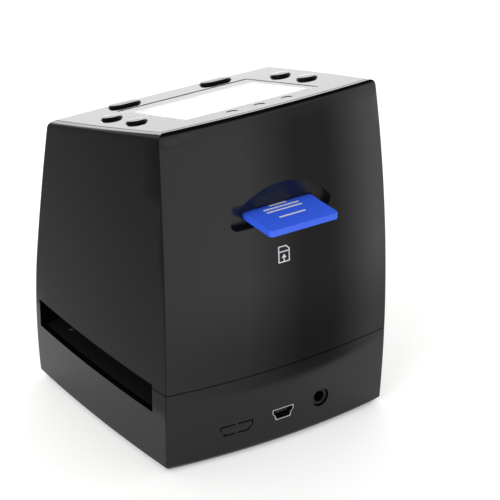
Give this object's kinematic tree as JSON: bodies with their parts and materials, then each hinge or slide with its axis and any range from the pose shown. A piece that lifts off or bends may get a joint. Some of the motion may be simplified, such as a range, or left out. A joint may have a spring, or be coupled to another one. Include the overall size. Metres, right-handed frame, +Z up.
{
  "type": "film negative scanner",
  "caption": "Desktop film and slide scanner: curved black housing with a film channel through its base, sloped panel with display and keys, card slot and ports at the back.",
  "frame": {"origin": "on the standing plane, under the middle of the body", "axes": "+Z up; +Y out of the back, where the card slot and the ports are; the film channel runs along X"},
  "size_m": [0.0852, 0.0899, 0.1103],
  "materials": {
    "black_shell": "satin moulded, fine sheen",
    "black_panel": "polished",
    "window_pane": "clear, polished",
    "display": "lit white screen in a metal frame",
    "black_key": "polished dome",
    "clear_light": "clear moulded",
    "status_lamp": "resin",
    "switch_metal": "stamped sheet",
    "board_green": "solder mask",
    "chips": "moulded",
    "socket_steel": "stamped sheet",
    "usb_steel": "plated sheet",
    "card_blue": "moulded, printed",
    "gold": "plated",
    "black_guide": "matt, against stray light",
    "frame_grey": "moulded",
    "lens_black": "black anodised",
    "lens_glass": "coated",
    "sensor": "cover glass on a chip",
    "diffuser_white": "opal",
    "box_white": "moulded",
    "lamp_board": "plain",
    "lamp": "resin",
    "flex": "polyimide film",
    "flat_cable": "film",
    "foot_rubber": "moulded",
    "screw_steel": "zinc plated"
  },
  "bodies": {
    "scanner": {"lower_housing": "black_shell", "upper_housing": "black_shell", "top_panel": "black_panel", "display_window": "window_pane", "display_module": "display", "display_frame": "frame_grey", "key_board": "board_green", "key_switches": "switch_metal", "indicator_lights": "clear_light", "status_leds": "status_lamp", "main_board": "board_green", "board_chips": "chips", "card_socket": "socket_steel", "film_guide_upper": "black_guide", "film_guide_lower": "black_guide", "camera_hood": "black_guide", "lens_barrel": "lens_black", "lens_elements": "lens_glass", "sensor_board": "board_green", "image_sensor": "sensor", "diffuser": "diffuser_white", "light_box": "box_white", "backlight_board": "lamp_board", "backlight_leds": "lamp", "port_board": "board_green", "usb_socket": "usb_steel", "usb_tongue": "chips", "av_jack": "black_guide", "display_cable": "flex", "port_cable": "flat_cable", "sensor_cable": "flex", "rubber_feet": "foot_rubber", "base_screws": "screw_steel", "guide_screws": "screw_steel", "board_screws": "screw_steel"},
    "oval_key_right": {"oval_key_right": "black_key"},
    "oval_key_left": {"oval_key_left": "black_key"},
    "round_key_right_front": {"round_key_right_front": "black_key"},
    "round_key_right_back": {"round_key_right_back": "black_key"},
    "round_key_left_front": {"round_key_left_front": "black_key"},
    "round_key_left_back": {"round_key_left_back": "black_key"},
    "card": {"memory_card": "card_blue", "card_contacts": "gold"}
  },
  "joints": [
    {"name": "oval_key_right_press", "type": "slide", "parent": "scanner", "child": "oval_key_right", "axis": [0, 0.284, -0.9588], "range_m": [0, 0.0005], "stiffness_N_per_m": 3000},
    {"name": "oval_key_left_press", "type": "slide", "parent": "scanner", "child": "oval_key_left", "axis": [0, 0.284, -0.9588], "range_m": [0, 0.0005], "stiffness_N_per_m": 3000},
    {"name": "round_key_right_front_press", "type": "slide", "parent": "scanner", "child": "round_key_right_front", "axis": [0, 0.284, -0.9588], "range_m": [0, 0.0005], "stiffness_N_per_m": 3000},
    {"name": "round_key_right_back_press", "type": "slide", "parent": "scanner", "child": "round_key_right_back", "axis": [0, 0.284, -0.9588], "range_m": [0, 0.0005], "stiffness_N_per_m": 3000},
    {"name": "round_key_left_front_press", "type": "slide", "parent": "scanner", "child": "round_key_left_front", "axis": [0, 0.284, -0.9588], "range_m": [0, 0.0005], "stiffness_N_per_m": 3000},
    {"name": "round_key_left_back_press", "type": "slide", "parent": "scanner", "child": "round_key_left_back", "axis": [0, 0.284, -0.9588], "range_m": [0, 0.0005], "stiffness_N_per_m": 3000},
    {"name": "card_slide", "type": "slide", "parent": "scanner", "child": "card", "axis": [0, 1, 0], "range_m": [0, 0.018]}
  ]
}
